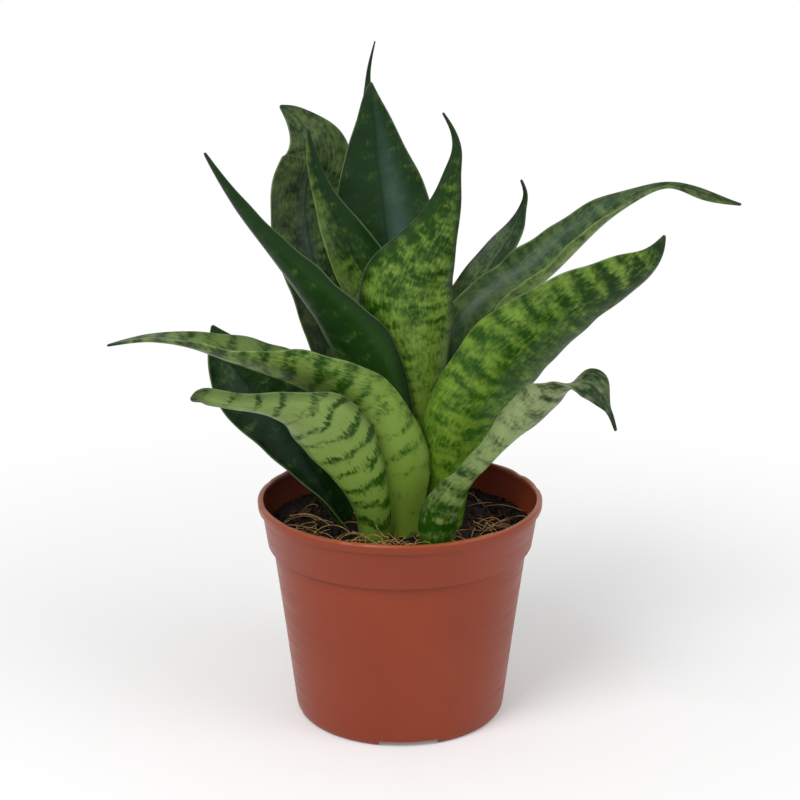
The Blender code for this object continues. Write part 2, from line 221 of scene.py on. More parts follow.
# %% Cut the notches and the drain holes
NOTCH_TURN = 5.0
NOTCH_SIZE = (12, 25, 4.8)
HOLE_RADIUS = 4.0
HOLE_CIRCLE = 27.0


def cut_with(piece, cutter):
    select_only(cutter)
    bpy.ops.object.transform_apply(location=True, rotation=True, scale=True)
    select_only(piece)
    cut = piece.modifiers.new("cut", "BOOLEAN")
    cut.operation = "DIFFERENCE"
    cut.solver = "EXACT"
    cut.object = cutter
    bpy.ops.object.modifier_apply(modifier=cut.name)
    bpy.data.objects.remove(cutter, do_unlink=True)


for index in range(4):
    angle = math.radians(NOTCH_TURN - 90 + 90 * index)
    spot = (43 * MM * math.cos(angle), 43 * MM * math.sin(angle), 0)
    bpy.ops.object.select_all(action="DESELECT")
    bpy.ops.mesh.primitive_cube_add(size=1, location=spot, rotation=(0, 0, angle))
    notch = bpy.context.object
    notch.scale = [side * MM for side in NOTCH_SIZE]
    cut_with(pot, notch)
for index in range(6):
    angle = math.radians(45 + 60 * index)
    spot = (HOLE_CIRCLE * MM * math.cos(angle), HOLE_CIRCLE * MM * math.sin(angle), 0)
    bpy.ops.object.select_all(action="DESELECT")
    bpy.ops.mesh.primitive_cylinder_add(vertices=32, radius=HOLE_RADIUS * MM, depth=0.02, location=spot)
    cut_with(pot, bpy.context.object)
print("pot after cutting:", len(pot.data.polygons), "faces")

# %% [markdown]
# The rim of a real pot is never quite true: it was trimmed and knocked about. A small wobble
# in height, only near the top, breaks the perfect circle, and a few nicks cut into it.

# %% Wobble and nick the rim
WOBBLE_FROM = 88.0
WOBBLE_FADE = 6.0
WOBBLE_DEPTH = 0.35
NICK_DEPTH = 1.2

for vertex in pot.data.vertices:
    near_rim = max(0.0, min(1.0, (vertex.co.z - WOBBLE_FROM * MM) / (WOBBLE_FADE * MM)))
    if near_rim > 0 and vertex.co.xy.length > 50 * MM:
        slow = noise.noise(Vector((vertex.co.x * 40, vertex.co.y * 40, 0.3)))
        quick = max(0.0, noise.noise(Vector((vertex.co.x * 160, vertex.co.y * 160, 1.7))) - 0.25)
        vertex.co.z += (slow * WOBBLE_DEPTH - quick * NICK_DEPTH) * near_rim * MM
pot.data.materials.append(pot_plastic)
select_only(pot)
bpy.ops.object.shade_smooth_by_angle(angle=math.radians(35))
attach(pot, "root")
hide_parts("nursery_pot")

# %% [markdown]
# ## The soil
# The soil is one turned body whose top has many rings, so that smooth noise can raise and
# sink it into small heaps. Crumbs, which are small rough stones of peat and bark, are then
# scattered over it: one is modelled and copied many times with other sizes and turns.

# %% Turn the soil and heap its top
SOIL_EDGE = 82.0
SOIL_RISE = 1.5
SOIL_RADIUS = 55.4
SOIL_RINGS = 44


def soil_top(radius):
    return SOIL_EDGE + SOIL_RISE * (1 - min(radius / SOIL_RADIUS, 1.0) ** 2)


soil_profile = [
    (1 + (SOIL_RADIUS - 1) * ring / SOIL_RINGS, soil_top(1 + (SOIL_RADIUS - 1) * ring / SOIL_RINGS))
    for ring in range(SOIL_RINGS + 1)
]
soil_profile += [(54.2, 76.5), (52.2, 76.4), (43.1, 5.8), (41.6, 4.3), (1, 4.3)]
soil = turn_profile("soil_bed", soil_profile, 150)
for vertex in soil.data.vertices:
    if vertex.co.z > 81.5 * MM:
        heap = noise.noise(vertex.co * 90) * 1.5 + noise.noise(vertex.co * 320) * 0.9
        vertex.co.z += (heap + noise.noise(vertex.co * 900) * 0.45) * MM
soil.data.materials.append(peat_soil)
select_only(soil)
bpy.ops.object.shade_smooth()
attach(soil, "root")
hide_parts("potting_soil")
print("soil bed:", len(soil.data.vertices), "points")

# %% Scatter soil crumbs
CRUMB_COUNT = 1300
FLAKE_COUNT = 220
CRUMB_REACH = 54.0
dice = random.Random(11)


def make_crumb(name, stretch):
    bpy.ops.object.select_all(action="DESELECT")
    bpy.ops.mesh.primitive_ico_sphere_add(subdivisions=1, radius=0.5)
    crumb = name_piece(bpy.context.object, name)
    for vertex in crumb.data.vertices:
        vertex.co *= 1 + 0.7 * noise.noise(vertex.co * 2.3 + Vector((len(name), 0, 0)))
        vertex.co = Vector(side * factor for side, factor in zip(vertex.co, stretch))
    return crumb


def scatter(name, model, count, sizes, reach, lift):
    model_points = np.array([vertex.co[:] for vertex in model.data.vertices])
    faces = [list(face.vertices) for face in model.data.polygons]
    points, loops = [], []
    for number in range(count):
        radius = reach * math.sqrt(dice.random())
        angle = dice.random() * 2 * math.pi
        size = dice.uniform(*sizes)
        turn = np.array(Euler([dice.uniform(0, 6.28) for _ in range(3)]).to_matrix())
        centre = (radius * math.cos(angle), radius * math.sin(angle), soil_top(radius) + lift * size)
        points.append((model_points @ turn.T * size + centre) * MM)
        loops += [[corner + number * len(model_points) for corner in face] for face in faces]
    mesh = bpy.data.meshes.new(name)
    mesh.from_pydata(np.concatenate(points).tolist(), [], loops)
    piece = bpy.data.objects.new(name, mesh)
    scene.collection.objects.link(piece)
    bpy.data.objects.remove(model, do_unlink=True)
    select_only(piece)
    bpy.ops.object.shade_smooth()
    return piece


peat_crumbs = scatter(
    "peat_crumbs", make_crumb("crumb", (1, 0.8, 0.7)), CRUMB_COUNT, (0.9, 3.0), CRUMB_REACH, 0.05
)
bark_crumbs = scatter(
    "bark_crumbs", make_crumb("flake", (1.3, 0.7, 0.35)), FLAKE_COUNT, (1.5, 4.5), CRUMB_REACH - 2, 0.15
)
for crumbs, finish, slot_name in (
    (peat_crumbs, peat_soil, "soil"),
    (bark_crumbs, pine_bark, "bark"),
):
    crumbs.data.materials.append(finish)
    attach(crumbs, "root")
print("crumbs:", len(peat_crumbs.data.polygons), len(bark_crumbs.data.polygons), "faces")

# %% [markdown]
# ## Bark chips
# The larger chips are flat splinters with broken ends. Each starts as a box of the measured
# size, is subdivided, and its skin is pushed in and out by noise.

# %% Shape the bark chips
for index in range(1, 7):
    low, high = (Vector(corner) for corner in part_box(f"bark_chip_{index}"))
    bpy.ops.object.select_all(action="DESELECT")
    bpy.ops.mesh.primitive_cube_add(size=1, location=(low + high) / 2)
    chip = name_piece(bpy.context.object, f"bark_splinter_{index}")
    chip.scale = high - low
    bpy.ops.object.transform_apply(location=True, rotation=True, scale=True)
    bpy.ops.object.mode_set(mode="EDIT")
    bpy.ops.mesh.select_all(action="SELECT")
    bpy.ops.mesh.subdivide(number_cuts=5)
    bpy.ops.object.mode_set(mode="OBJECT")
    middle = (low + high) / 2
    for vertex in chip.data.vertices:
        out = vertex.co - middle
        squeeze = 0.80 + 0.35 * noise.noise(vertex.co * 260 + Vector((index, 0, 0)))
        vertex.co = middle + Vector((out.x * squeeze, out.y * squeeze, out.z))
        vertex.co.z += noise.noise(vertex.co * 500) * 0.7 * MM
    select_only(chip)
    soften = chip.modifiers.new("soften", "SUBSURF")
    soften.levels = soften.render_levels = 1
    bpy.ops.object.modifier_apply(modifier=soften.name)
    bpy.ops.object.shade_smooth()
    chip.data.materials.append(pine_bark)
    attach(chip, "root")
    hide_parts(f"bark_chip_{index}")
print("bark chips shaped")

# %% [markdown]
# ## Coir fibres
# Coir is the hair of the coconut husk. Loose strands stick out of the soil, most of them in
# front of the leaves. Each is a path of a few points with a round bevel, and they become one
# mesh.

# %% Lay the coir fibres
FIBRE_RADIUS = 0.16
STRAND_POINTS = 6
STRAND_REACH = 54.5
FIBRE_SPOTS = [
    # x and y of a tuft's middle, its spread, how many strands it has and how high it is heaped
    (-18, -36, 10, 24, 8),
    (0, -44, 12, 30, 9),
    (22, -34, 10, 14, 5),
    (38, -14, 12, 18, 3),
    (-38, -14, 12, 16, 3),
    (0, 0, 50, 50, 1),
]


def strand_points(x, y, length, heap):
    heading = dice.uniform(0, 2 * math.pi)
    curl = dice.uniform(-0.5, 0.5)
    climb = dice.uniform(-0.05, 0.6)
    height = soil_top(math.hypot(x, y)) + dice.uniform(0.2, 1.0 + heap)
    points = []
    for _ in range(STRAND_POINTS):
        reach = math.hypot(x, y)
        if reach > STRAND_REACH:
            x, y = x * STRAND_REACH / reach, y * STRAND_REACH / reach
        points.append((x * MM, y * MM, height * MM, 1))
        x += math.cos(heading) * length / (STRAND_POINTS - 1)
        y += math.sin(heading) * length / (STRAND_POINTS - 1)
        height = max(soil_top(0) - 1, height + climb * length / 5)
        heading += curl
        climb -= 0.2
    return points


bpy.ops.object.select_all(action="DESELECT")
bpy.ops.curve.primitive_nurbs_path_add()
fibres = name_piece(bpy.context.object, "coir_fibres")
fibres.data.splines.clear()
for spot_x, spot_y, spread, count, heap in FIBRE_SPOTS:
    for _ in range(count):
        start_x = spot_x + dice.gauss(0, spread / 2)
        start_y = spot_y + dice.gauss(0, spread / 3)
        points = strand_points(start_x, start_y, dice.uniform(8, 20), heap)
        strand = fibres.data.splines.new("NURBS")
        strand.points.add(len(points) - 1)
        strand.points.foreach_set("co", [value for point in points for value in point])
        strand.use_endpoint_u = True
        strand.resolution_u = 3
fibres.data.bevel_depth = FIBRE_RADIUS * MM
fibres.data.bevel_resolution = 1
fibres.data.use_fill_caps = True
select_only(fibres)
bpy.ops.object.convert(target="MESH")
fibres = bpy.context.object
bpy.ops.object.shade_smooth()
fibres.data.materials.clear()
fibres.data.materials.append(coir_fibre)
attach(fibres, "root")
print("coir fibres:", len(fibres.data.polygons), "faces")

# %% [markdown]
# ## The leaf's skin
# A snake plant's leaf is fleshy, with a waxy, satin skin. Dark green cross bands and pale,
# ragged mottling lie under the wax. The pattern follows the leaf, so it reads four
# attributes that each leaf carries: where a point lies on the flat leaf in millimetres, how
# pale, banded and fresh it is there, how far the margin and the tip are, and its tone: how
# much painted sheen, grey (partly its own, partly painted reflection) and dark border (partly
# painted shade) it has, and how crisp its pattern is. The skin also paints shade on the upper
# side and in the midrib crease, and a painted highlight on the margin.

# %% Make the leaf's material
BAND_SPACING = 10.0
CLOUD_WEIGHT = 1.3
FLECK_WEIGHT = 0.8
STREAK_WEIGHT = 0.35


def make_leaf_skin():
    material, tree, shader = new_material("waxy_snake_plant_leaf")

    def scaled_noise(scale, detail):
        drawn = add_node(tree, "VectorMath", {0: place, 1: scale}, operation="MULTIPLY").outputs[0]
        return add_node(tree, "TexNoise", {"Vector": drawn, "Scale": 1.0, "Detail": detail}).outputs["Fac"]

    def add_scaled(value, factor, onto):
        return add_node(tree, "Math", {0: value, 1: factor, 2: onto}, operation="MULTIPLY_ADD").outputs[0]

    def times(one, other):
        return add_node(tree, "Math", {0: one, 1: other}, operation="MULTIPLY").outputs[0]

    def tint(share, under, over):
        over = linear(over) if isinstance(over, str) else over
        under = linear(under) if isinstance(under, str) else under
        return add_node(tree, "Mix", {0: share, 6: under, 7: over}, data_type="RGBA").outputs[2]

    place = add_node(tree, "Attribute", attribute_name="leaf_place").outputs["Vector"]
    look_node = add_node(tree, "Attribute", attribute_name="leaf_look")
    tone_node = add_node(tree, "Attribute", attribute_name="leaf_tone")
    edge_vector = add_node(tree, "Attribute", attribute_name="leaf_edge").outputs["Vector"]
    pale, bands, fresh = list(add_node(tree, "SeparateColor", {0: look_node.outputs["Color"]}).outputs)
    painted_sheen, grey_and_reflection, crisp = list(add_node(tree, "SeparateColor", {0: tone_node.outputs["Color"]}).outputs)
    upper = look_node.outputs["Alpha"]
    dark_border_and_shade = tone_node.outputs["Alpha"]
    edge = add_node(tree, "SeparateXYZ", {0: edge_vector}).outputs
    across, along = list(add_node(tree, "SeparateXYZ", {0: place}).outputs)[:2]

    # Each scale is one over a size in millimetres, across the leaf and then along it.
    streak = scaled_noise((1 / 0.6, 1 / 8, 1.0), 2.0)
    wave = scaled_noise((1 / 13, 1 / 20, 1.0), 1.5)
    cloud = scaled_noise((1 / 9, 1 / 5, 1.0), 3.0)
    fleck = scaled_noise((1 / 1.3, 1 / 2.6, 1.0), 3.0)

    # Cross bands come every 10 mm. Slow waves bend them and the streaks fray their ends.
    frayed = add_scaled(streak, 0.5, add_scaled(wave, 1.4, 0.0))
    turns = times(add_scaled(along, 1 / BAND_SPACING, frayed), 2 * math.pi)
    ripple = add_node(tree, "Math", {0: turns}, operation="SINE").outputs[0]
    pattern = add_scaled(times(ripple, bands), 0.24, pale)
    pattern = add_scaled(cloud, CLOUD_WEIGHT, pattern)
    pattern = add_scaled(fleck, FLECK_WEIGHT, pattern)
    pattern = add_scaled(streak, STREAK_WEIGHT, pattern)
    # The three noises average one half each, so their middle is taken away again.
    average = (CLOUD_WEIGHT + FLECK_WEIGHT + STREAK_WEIGHT) / 2
    pattern = add_node(tree, "Math", {0: pattern, 1: average}, operation="SUBTRACT").outputs[0]
    # A crisp pattern turns from dark to pale within a short range, and a cloudy one over a long one.
    reach = add_node(tree, "MapRange", {0: crisp, 3: 0.42, 4: 0.12}).outputs[0]
    low = add_node(tree, "Math", {0: 0.5, 1: reach}, operation="SUBTRACT").outputs[0]
    high = add_node(tree, "Math", {0: 0.5, 1: reach}, operation="ADD").outputs[0]
    pale_mask = add_node(
        tree, "MapRange", {0: pattern, 1: low, 2: high}, interpolation_type="SMOOTHSTEP"
    ).outputs[0]

    deep = tint(cloud, "#0A1C05", "#183A08")
    deep = tint(fresh, deep, "#2A5806")
    light = tint(streak, "#4C7020", "#7E983E")
    light = tint(fresh, light, "#74962A")
    # Grey: partly the skin's own pale grey-green, partly a painted reflection of the white surroundings on
    # the underside.
    light = tint(grey_and_reflection, light, "#8E9870")
    skin = tint(pale_mask, deep, light)
    # The upper side is painted darker and bluer than the underside: painted shade on the sides that face
    # into the rosette.
    skin = tint(times(upper, 0.35), skin, "#12261A")
    # Painted sheen: a blue-grey painted reflection, strongest in a strip along each leaf and broken up by
    # the clouds.
    skin = tint(times(painted_sheen, add_scaled(cloud, 0.8, 0.5)), skin, "#40584E")
    # A dark line along the midrib crease on the upper side: painted shade in the crease.
    off_middle = add_node(tree, "Math", {0: across}, operation="ABSOLUTE").outputs[0]
    midrib_shade = add_node(tree, "MapRange", {0: off_middle, 1: 0.3, 2: 1.2, 3: 0.5, 4: 0.0}).outputs[0]
    skin = tint(times(midrib_shade, upper), skin, "#0D1D10")
    # A dark green border runs inside the margin: partly the leaf's own dark margin, partly painted shade
    # where the margin turns away. The margin itself gets a thin pale line: a painted highlight on the lit
    # edge.
    inside = add_node(tree, "MapRange", {0: edge[0], 1: 1.0, 2: 4.5, 3: 1.0, 4: 0.0}).outputs[0]
    skin = tint(times(inside, dark_border_and_shade), skin, "#142B10")
    # The pale margin line is a painted highlight, kept to the wide parts of the leaf.
    margin_highlight = add_node(tree, "MapRange", {0: edge[0], 1: 0.1, 2: 0.4, 3: 0.22, 4: 0.0}).outputs[0]
    wide = add_node(tree, "MapRange", {0: edge[1], 1: 3.0, 2: 7.0}).outputs[0]
    skin = tint(times(margin_highlight, wide), skin, "#8E9E6E")
    # The last few millimetres of the tip are dark and start to dry.
    dry = add_node(tree, "MapRange", {0: edge[2], 1: 1.0, 2: 9.0, 3: 0.7, 4: 0.0}).outputs[0]
    skin = tint(dry, skin, "#22301A")
    tree.links.new(skin, shader.inputs["Base Color"])

    rough = add_node(tree, "MapRange", {0: cloud, 1: 0.3, 2: 0.7, 3: 0.26, 4: 0.40}).outputs[0]
    tree.links.new(rough, shader.inputs["Roughness"])
    shader.inputs["IOR"].default_value = 1.45
    shader.inputs["Specular IOR Level"].default_value = 0.16
    bump = add_node(tree, "Bump", {"Height": streak, "Strength": 0.35, "Distance": 0.0002})
    tree.links.new(bump.outputs[0], shader.inputs["Normal"])
    return material


leaf_skin = make_leaf_skin()
print("material:", leaf_skin.name)

# %% [markdown]
# ## The leaves
# Every leaf is described by stations along its midrib, from the soil to the tip: the place of
# the midrib, half the leaf's flat width, how far the leaf rolls about the midrib, and how
# deeply it is channelled. Smooth curves run through the stations. A flat grid is added and its
# points are moved onto that form; Solidify gives it a fleshy middle and thin margins, and
# Subdivision Surface rounds it.

# %% Describe the leaves
# heading in degrees, then (x, y, z, half width, roll, channel) in millimetres and degrees
LEAVES = {
    "front_arching_left": (205, [
        (1, -18, 76, 9, 65, 150), (1.6, -22, 98.5, 11.5, 65, 140), (1, -26, 115, 14.5, 65, 130),
        (-4.5, -30, 129, 15, 60, 125), (-13, -34, 139.5, 17, 48, 125),
        (-24.5, -37, 147.5, 21.5, 28, 130), (-39.5, -39, 155.5, 22.5, 12, 135),
        (-54, -40, 161.5, 18.5, 0, 140), (-69.5, -41, 167.5, 12.5, -8, 120),
        (-85.5, -43, 173.5, 7, -8, 90), (-99, -43, 174.5, 3.5, 0, 60),
        (-114, -43, 172, 0.4, 0, 20),
    ]),
    "low_front_left": (222, [
        (-9.5, -24, 76, 7.5, 60, 140), (-10.5, -31, 99.5, 9.5, 60, 130),
        (-15.5, -38, 116.5, 13, 58, 115), (-22.5, -46, 130.5, 16, 54, 100),
        (-31, -54, 142.5, 16, 48, 90), (-41, -59, 149, 11.5, 42, 85),
        (-52.5, -65, 153.5, 8, 36, 75), (-63.5, -69, 156.5, 5.5, 42, 65),
        (-71.5, -71, 159, 4.5, 55, 60), (-75, -71, 159.5, 4, 62, 50), (-77, -71, 159, 2.8, 66, 40),
        (-79, -71, 158.5, 0.5, 70, 20),
    ]),
    "low_left": (172, [
        (-20, -4, 75, 8, 0, 130), (-32, 0, 97, 14, -20, 100), (-45.5, 5, 118, 18, -40, 80),
        (-60.5, 8, 136, 18.5, -50, 70), (-71.5, 9, 152, 11.5, -60, 60),
        (-78, 8, 167, 0.5, -60, 20),
    ]),
    "upper_left": (190, [
        (-3, -11, 76, 8, 60, 150), (-5, -14, 106, 11, 60, 140), (-8.5, -17, 138, 14.5, 60, 110),
        (-18.5, -20, 163, 17, 50, 100), (-35, -22, 185, 14, 35, 110), (-52, -23, 207, 9, 25, 130),
        (-64, -23, 224, 4.5, 30, 100), (-76, -22, 244, 0.4, 40, 20),
    ]),
    "front_centre": (270, [
        (6, -5, 75, 6, 0, 140), (8, -9, 114, 10, 0, 130), (7, -13, 145, 14, 0, 110),
        (2.5, -20, 174, 21.5, 0, 90), (3.5, -23, 190, 20, 0, 80), (8, -25, 201, 16, 0, 80),
        (14, -26, 214, 10, 0, 80), (18.5, -26, 227, 6, 0, 80), (20.5, -25, 237, 3.5, 0, 70),
        (22, -24, 245, 2, 0, 60), (20.5, -23, 252.5, 1, 0, 40), (16.5, -22, 259.5, 0.4, 0, 20),
    ]),
    "back_centre": (90, [
        (-3, 8, 76, 7, 0, 140), (-3, 13, 125, 12, 0, 110), (-4, 19, 171, 19, 0, 80),
        (-6, 25, 204, 21.5, 0, 60), (-8, 28, 220, 19, 0, 50), (-10, 31, 236, 13, 0, 50),
        (-11, 33, 249, 7.5, 0, 50), (-12, 34, 258, 3.5, 0, 45), (-12, 35, 264, 0.4, 0, 20),
    ]),
    "back_tall": (95, [
        (-4, 19, 76, 7.5, 0, 140), (-6, 36, 118, 13.5, 0, 110), (-10.5, 54, 166, 18, 0, 80),
        (-12, 70, 208, 12, 0, 60), (-14, 79, 233, 6, 0, 50), (-14, 84, 248, 2.8, 0, 50),
        (-14, 87, 260, 1, 0, 40), (-11, 90, 275, 0.3, 0, 20),
    ]),
    "back_left": (125, [
        (-11, 11, 76, 7, 0, 140), (-20.5, 25, 122, 13.5, 0, 110), (-31, 33, 163, 18, 0, 80),
        (-40, 43, 200, 21, 0, 60), (-40, 47, 219, 20.5, 0, 50), (-37, 49, 232.5, 17, 0, 45),
        (-41.5, 50, 243, 9.5, 0, 45), (-47, 51, 249, 4.5, 0, 45), (-51, 51, 252, 0.4, 0, 20),
    ]),
    "heart": (100, [
        (0, 1, 76, 4, 0, 140), (1, 2, 128, 8, 0, 120), (-4, 3, 164, 12, 0, 100),
        (-15, 5, 190, 12.5, 0, 85), (-24, 6, 207, 9.5, 0, 80), (-31, 7, 222, 5, 0, 80),
        (-35, 7, 235, 2.8, 0, 70), (-37, 7, 249, 0.4, 0, 20),
    ]),
    "back_right": (50, [
        (11, 17, 76, 7, 0, 140), (19, 26, 121, 12, 0, 110), (28, 35, 160, 13.5, 0, 90),
        (41, 43, 186, 9.5, 0, 80), (50, 48, 200, 5, 0, 60), (53, 51, 208, 2, 0, 60),
        (54, 52, 214, 1, 0, 40), (52, 53, 220, 0.4, 0, 20),
    ]),
    "long_right": (10, [
        (16, 4, 76, 7, 0, 140), (20, 6, 110, 11, 10, 130), (24, 8, 142, 15, 20, 120),
        (33, 11, 166, 17, 18, 125), (51, 12.5, 180.5, 18.5, 9, 145),
        (68, 13.5, 195.5, 16, 9, 145), (84.5, 13, 212, 9.5, 12, 125), (98, 10, 221.5, 4, 15, 90),
        (109, 6, 226, 1.8, 30, 60), (121, 1, 223.5, 2.6, 50, 50), (137, -4, 220, 0.4, 50, 20),
    ]),
    "broad_right": (332, [
        (20, -9, 76, 8, -50, 140), (21, -16, 107, 13, -50, 130), (26, -24, 131, 18.5, -50, 110),
        (35, -31, 149, 20.5, -50, 90), (44, -36, 165, 20, -50, 80), (56, -39, 177, 18, -50, 70),
        (67, -41, 187, 15.5, -50, 60), (78, -43, 194, 12.5, -50, 60),
        (89, -44, 201, 9.5, -50, 60), (97, -44, 208, 4.5, -50, 60), (101, -44, 216, 0.4, -50, 20),
    ]),
    "low_right": (320, [
        (17, -38, 76, 9, -35, 130), (18.5, -39, 102, 10, -35, 130), (23, -41, 110, 9.5, -22, 140),
        (28.5, -45, 118.5, 9, -3, 150), (35.5, -49, 127.5, 8.5, 0, 145),
        (41.5, -53, 136.5, 8.5, -20, 130), (47.5, -57, 145.5, 10, -38, 115),
        (54.5, -61, 154, 9.5, -38, 110), (60.5, -66, 160.5, 7, -20, 90),
        (66.5, -71, 164.5, 8.5, 5, 60), (71.5, -74, 164.5, 8, 20, 60),
        (75, -76, 160.5, 4.5, 20, 60), (78, -77, 156, 1.3, 20, 40), (81, -77, 148, 0.4, 20, 20),
    ]),
    "low_back_left": (130, [
        (-23, 18, 76, 6, 0, 140), (-35, 34, 100, 12, 0, 110), (-50, 55, 117, 15, 0, 90),
        (-64, 76, 127, 11, 0, 70), (-75, 92, 130, 5, 0, 60), (-83, 104, 129, 0.5, 0, 20),
    ]),
    "low_back": (92, [
        (4, 29, 76, 7, 0, 140), (2, 47, 112, 13, 0, 110), (1, 70, 142, 17, 0, 90),
        (1, 95, 162, 14, 0, 70), (2, 114, 170, 7, 0, 60), (2, 130, 170, 0.5, 0, 20),
    ]),
    "low_back_right": (48, [
        (23, 22, 76, 6, 0, 140), (32, 35, 112, 12, 0, 110), (40, 53, 138, 14, 0, 90),
        (46, 70, 152, 10, 0, 70), (52, 83, 158, 4, 0, 60), (58, 94, 160, 0.5, 0, 20),
    ]),
}
# For each leaf: how pale its base, middle and tip are, how banded it is, how fresh green its
# base is, how much paler one half is than the other (partly painted shade), how grey (partly
# painted reflection), how crisp its pattern, how dark its border (partly painted shade), and
# its painted sheen: strength, and the middle and width of the strip across.
LOOKS = {
    "front_arching_left": ((1.05, 0.60, 0.50), 0.75, 1.00, -0.10, 0.25, 0.35, 0.2, (0.0, 0.0, 1.0)),
    "low_front_left": ((0.64, 0.70, 0.78), 1.10, 0.80, -0.10, 0.30, 0.60, 0.5, (0.0, 0.0, 1.0)),
    "low_left": ((0.05, 0.10, 0.15), 0.2, 0.10, 0.0, 0.3, 0.0, 0.2, (0.3, 0.3, 0.3)),
    "upper_left": ((0.38, 0.06, 0.00), 0.2, 0.45, -0.15, 0.1, 0.0, 0.9, (0.12, 0.2, 0.3)),
    "front_centre": ((0.88, 0.50, 0.15), 0.1, 0.95, 0.08, 0.10, 0.3, 0.8, (0.0, 0.0, 1.0)),
    "back_centre": ((0.00, -0.15, 0.05), 0.1, 0.35, -0.20, 0.0, 0.0, 0.1, (0.8, -0.28, 0.24)),
    "back_tall": ((0.05, 0.05, 0.05), 0.2, 0.15, 0.0, 0.1, 0.0, 0.1, (0.1, 0.0, 0.5)),
    "back_left": ((0.15, 0.28, 0.50), 0.1, 0.15, 0.05, 0.35, 0.0, 0.3, (0.65, 0.05, 0.18)),
    "heart": ((0.60, 0.38, 0.15), 0.1, 1.00, 0.40, 0.0, 0.2, 0.2, (0.0, 0.0, 1.0)),
    "back_right": ((0.95, 0.60, 0.10), 0.2, 0.90, 0.0, 0.15, 0.2, 0.3, (0.25, 0.0, 0.4)),
    "long_right": ((0.42, 0.50, 0.42), 0.1, 1.00, -0.10, 0.35, 0.1, 0.2, (0.45, 0.5, 0.3)),
    "broad_right": ((0.58, 0.36, 0.30), 0.45, 1.00, -0.12, 0.05, 0.1, 0.2, (0.0, 0.0, 1.0)),
    "low_right": ((0.15, 0.74, 0.30), 0.5, 0.45, 0.0, 0.75, 0.25, 0.3, (0.0, 0.0, 1.0)),
    "low_back_left": ((0.40, 0.45, 0.40), 0.6, 0.35, 0.0, 0.2, 0.4, 0.4, (0.2, 0.2, 0.3)),
    "low_back": ((0.45, 0.50, 0.40), 0.6, 0.45, 0.0, 0.2, 0.4, 0.4, (0.2, 0.2, 0.3)),
    "low_back_right": ((0.35, 0.38, 0.30), 0.5, 0.35, 0.0, 0.2, 0.3, 0.4, (0.2, -0.2, 0.3)),
}
print("leaves described:", len(LEAVES))

# %% [markdown]
# Two curves are needed. The midrib follows a natural cubic spline, which bends like a springy
# lath. Widths and angles follow a curve that never overshoots, so that a leaf can't swell
# between two stations.

# %% Smooth curves through the stations
def smooth_points(knots, values, at):
    count = len(knots)
    step = np.diff(knots)
    slope = np.diff(values, axis=0) / step[:, None]
    system = np.eye(count)
    right = np.zeros_like(values)
    for i in range(1, count - 1):
        system[i, i - 1:i + 2] = (step[i - 1], 2 * (step[i - 1] + step[i]), step[i])
        right[i] = 6 * (slope[i] - slope[i - 1])
    bend = np.linalg.solve(system, right)
    span = np.clip(np.searchsorted(knots, at, side="right") - 1, 0, count - 2)
    width = step[span][:, None]
    ahead = (knots[span + 1][:, None] - at[:, None]) / width
    behind = 1 - ahead
    straight = ahead * values[span] + behind * values[span + 1]
    curve = (ahead**3 - ahead) * bend[span] + (behind**3 - behind) * bend[span + 1]
    return straight + curve * width**2 / 6


def smooth_values(knots, values, at):
    step = np.diff(knots)
    slope = np.diff(values) / step
    tangent = np.zeros(len(knots))
    tangent[0] = slope[0]
    tangent[-1] = slope[-1]
    for i in range(1, len(knots) - 1):
        if slope[i - 1] * slope[i] > 0:
            tangent[i] = 2 * slope[i - 1] * slope[i] / (slope[i - 1] + slope[i])
    span = np.clip(np.searchsorted(knots, at, side="right") - 1, 0, len(knots) - 2)
    t = (at - knots[span]) / step[span]
    ease = t * t * (3 - 2 * t)
    leave = t * (1 - t) ** 2 * step[span]
    arrive = t * t * (t - 1) * step[span]
    between = values[span] + (values[span + 1] - values[span]) * ease
    return between + tangent[span] * leave + tangent[span + 1] * arrive


# %% Bend a grid into a leaf
ACROSS = 20
ALONG = 110
THICKNESS = 2.3
THIN_EDGE = 0.35
EDGE_WAVE = 0.7
CREASE_DEPTH = 0.5
CREASE_WIDTH = 0.09
TRIM_HEIGHT = 80.5
FULL_FLESH_WIDTH = 5.0


def leaf_points(heading, stations, seed):
    table = np.array(stations, dtype=float)
    lengths = np.linalg.norm(np.diff(table[:, :3], axis=0), axis=1)
    knots = np.concatenate([[0.0], np.cumsum(lengths)])
    at = np.linspace(0, knots[-1], ALONG + 1)
    spine = smooth_points(knots, table[:, :3], at)
    tangent = np.gradient(spine, axis=0)
    tangent /= np.linalg.norm(tangent, axis=1)[:, None]
    width = smooth_values(knots, table[:, 3], at)
    roll = np.radians(smooth_values(knots, table[:, 4], at))[:, None]
    channel = np.radians(smooth_values(knots, table[:, 5], at))
    turn = math.radians(heading)
    side = np.array([-math.sin(turn), math.cos(turn), 0.0])
    sideways = side - tangent * (tangent @ side)[:, None]
    sideways /= np.linalg.norm(sideways, axis=1)[:, None]
    upper = np.cross(tangent, sideways)
    crosswise = sideways * np.cos(roll) + upper * np.sin(roll)
    inward = upper * np.cos(roll) - sideways * np.sin(roll)

    s = np.linspace(-1, 1, ACROSS + 1)[None, :]
    angle = s * channel[:, None] / 2
    radius = (2 * width / channel)[:, None]
    share = (width / width.max())[:, None]
    wave = np.sin(at[:, None] / 6.3 + seed + 2.1 * np.sign(s)) + 0.6 * np.sin(at[:, None] / 2.9 + 2 * seed)
    ruffle = EDGE_WAVE * share * wave * np.abs(s) ** 4
    crease = -CREASE_DEPTH * share * np.exp(-((s / CREASE_WIDTH) ** 2))
    rise = radius * (1 - np.cos(angle)) + ruffle + crease
    points = spine[:, None, :] + crosswise[:, None, :] * (radius * np.sin(angle))[..., None]
    points = points + inward[:, None, :] * rise[..., None]
    return points, width, at, s[0]


